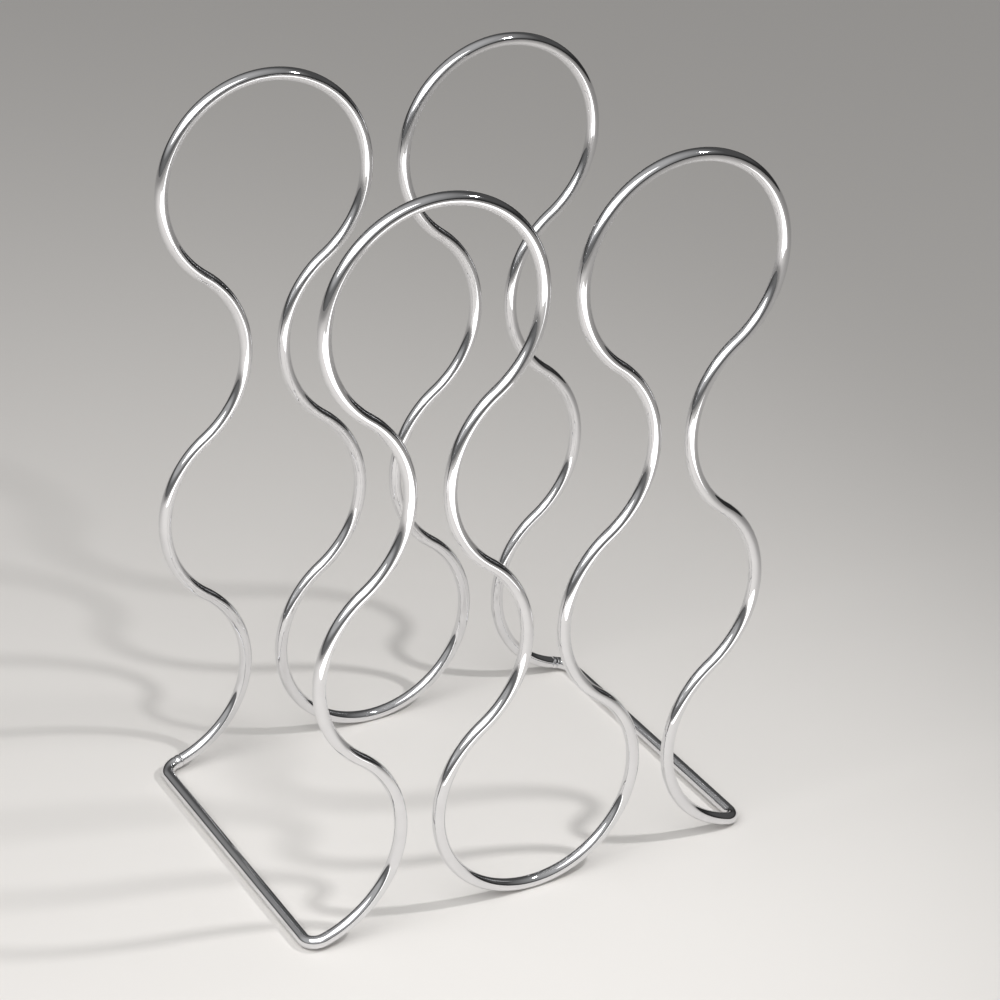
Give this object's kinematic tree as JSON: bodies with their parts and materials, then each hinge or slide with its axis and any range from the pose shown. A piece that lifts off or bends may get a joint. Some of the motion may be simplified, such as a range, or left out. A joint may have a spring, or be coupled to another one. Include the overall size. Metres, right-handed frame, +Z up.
{
  "type": "wine rack",
  "caption": "Countertop wine rack: two serpentine chromed rod uprights, front and rear, joined by foot rods along the table, with round cells that hold bottles lying down.",
  "frame": {"origin": "centre of the footprint, on the table plane the rack stands on", "axes": "+X across the width, to the right seen from the front; -Y towards the front; +Z up"},
  "size_m": [0.2318, 0.1652, 0.3509],
  "materials": {
    "chrome_rod": "bright mirror chrome plate on bent steel rod",
    "plated_weld": "ground butt weld under the same chrome plate, slightly uneven"
  },
  "bodies": {
    "root": {"front_left_foot_bow": "chrome_rod", "front_left_lower_outer_bow": "chrome_rod", "front_left_waist_bow": "chrome_rod", "front_left_top_loop": "chrome_rod", "front_left_upper_inner_bow": "chrome_rod", "front_left_lower_inner_bow": "chrome_rod", "front_bottom_loop": "chrome_rod", "front_right_lower_inner_bow": "chrome_rod", "front_right_upper_inner_bow": "chrome_rod", "front_right_top_loop": "chrome_rod", "front_right_waist_bow": "chrome_rod", "front_right_lower_outer_bow": "chrome_rod", "front_right_foot_bow": "chrome_rod", "rear_left_foot_bow": "chrome_rod", "rear_left_lower_outer_bow": "chrome_rod", "rear_left_waist_bow": "chrome_rod", "rear_left_top_loop": "chrome_rod", "rear_left_upper_inner_bow": "chrome_rod", "rear_left_lower_inner_bow": "chrome_rod", "rear_bottom_loop": "chrome_rod", "rear_right_lower_inner_bow": "chrome_rod", "rear_right_upper_inner_bow": "chrome_rod", "rear_right_top_loop": "chrome_rod", "rear_right_waist_bow": "chrome_rod", "rear_right_lower_outer_bow": "chrome_rod", "rear_right_foot_bow": "chrome_rod", "front_left_corner": "chrome_rod", "rear_left_corner": "chrome_rod", "front_right_corner": "chrome_rod", "rear_right_corner": "chrome_rod", "left_foot_rod": "chrome_rod", "right_foot_rod": "chrome_rod", "rear_left_weld": "plated_weld", "rear_right_weld": "plated_weld"}
  },
  "joints": []
}
